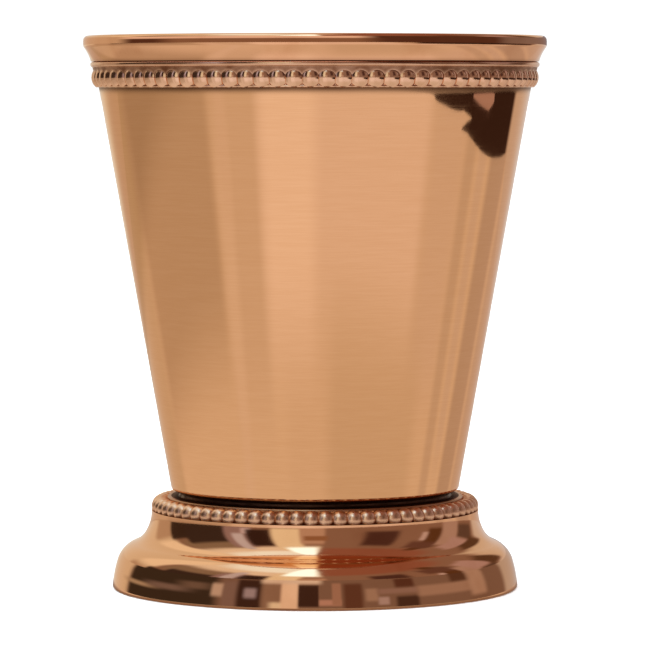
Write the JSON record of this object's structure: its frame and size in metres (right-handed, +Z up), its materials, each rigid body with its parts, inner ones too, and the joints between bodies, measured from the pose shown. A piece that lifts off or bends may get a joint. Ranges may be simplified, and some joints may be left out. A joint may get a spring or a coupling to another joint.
{
  "type": "julep cup",
  "caption": "Tapered copper julep cup with a flared, rolled rim, a beaded band below it and a spread foot with a beaded shoulder, for iced drinks.",
  "frame": {"origin": "centre of the circle that the foot stands on, at the level of the table", "axes": "+Z up along the cup's axis of revolution; +X to the right and -Y towards the viewer of the picture"},
  "size_m": [0.0904, 0.0904, 0.108],
  "materials": {
    "satin_copper": "copper, brushed round the cup to a satin",
    "polished_copper": "copper, polished bright",
    "beaded_copper": "copper, polished, darker between the pearls",
    "foot_copper": "copper, polished to a mirror",
    "foot_bead_copper": "copper, polished, darker between the pearls",
    "solder": "solder, dull and darkened in the joint"
  },
  "bodies": {
    "root": {"tumbler_body": "satin_copper", "rim_collar": "polished_copper", "rim_beading": "beaded_copper", "foot_shell": "foot_copper", "foot_beading": "foot_bead_copper", "solder_joint": "solder"}
  },
  "joints": []
}
